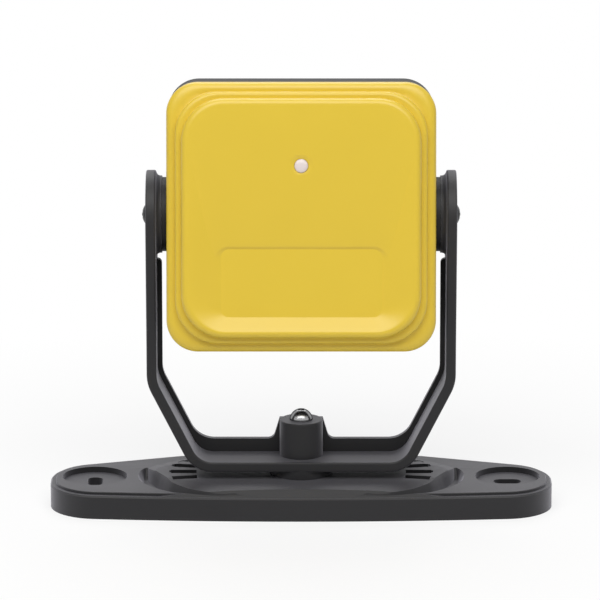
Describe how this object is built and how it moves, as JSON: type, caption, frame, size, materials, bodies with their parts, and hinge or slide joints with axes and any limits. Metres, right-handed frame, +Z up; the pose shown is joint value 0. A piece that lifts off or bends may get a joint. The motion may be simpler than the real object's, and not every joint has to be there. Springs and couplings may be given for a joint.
{
  "type": "safety radar sensor",
  "caption": "Square safety radar sensor with a stepped radome face, tilting in a U-shaped fork that pans on a boat-shaped slotted foot, with round screw connectors at the rear.",
  "frame": {"origin": "where the pan axis meets the underside of the base", "axes": "+Z up along the pan axis, +X along the base to the right as seen from the front, the radar face looks along -Y, tilted up by one 10 degree step at rest"},
  "size_m": [0.165, 0.0595, 0.1433],
  "materials": {
    "dark_plastic": "fine moulded grain",
    "disc_plastic": "moulded",
    "yellow_plastic": "satin moulded",
    "black_plastic": "fine moulded grain",
    "polished_steel": "polished",
    "black_steel": "blackened",
    "plain_steel": "zinc plated",
    "white_lens": "clear white",
    "seal_rubber": "matt",
    "board": "solder mask",
    "chip": "moulded",
    "insert_brass": "turned",
    "plug_metal": "nickel plated",
    "plug_plastic": "moulded",
    "contact_gold": "gold plated"
  },
  "bodies": {
    "base": {"base_plate": "dark_plastic", "pan_screw": "polished_steel", "pan_nut": "plain_steel"},
    "fork": {"fork": "dark_plastic"},
    "head": {"front_cover": "yellow_plastic", "rear_housing": "black_plastic", "cover_seal": "seal_rubber", "housing_screws": "black_steel", "tilt_disc_left": "disc_plastic", "tilt_disc_right": "disc_plastic", "tilt_insert_left": "insert_brass", "tilt_insert_right": "insert_brass", "tilt_screw_left": "black_steel", "tilt_screw_right": "black_steel", "main_board": "board", "antenna_board": "board", "processor_chip": "chip", "board_link": "chip", "radar_chip": "chip", "status_led": "white_lens", "board_spacers": "insert_brass", "board_screws": "plain_steel", "status_light_pipe": "white_lens", "male_connector_shell": "plug_metal", "male_connector_insert": "plug_plastic", "male_connector_pins": "contact_gold", "female_connector_shell": "plug_metal", "female_connector_insert": "plug_plastic", "female_connector_contacts": "contact_gold", "connector_gaskets": "seal_rubber", "vent_plug": "black_plastic"}
  },
  "joints": [
    {"name": "fork_pan", "type": "hinge", "parent": "base", "child": "fork", "pos_m": [0, 0, 0], "axis": [0, 0, 1], "range_deg": [-30, 30]},
    {"name": "head_tilt", "type": "hinge", "parent": "fork", "child": "head", "pos_m": [0, 0, 0.0976], "axis": [1, 0, 0], "range_deg": [-50, 70]}
  ]
}
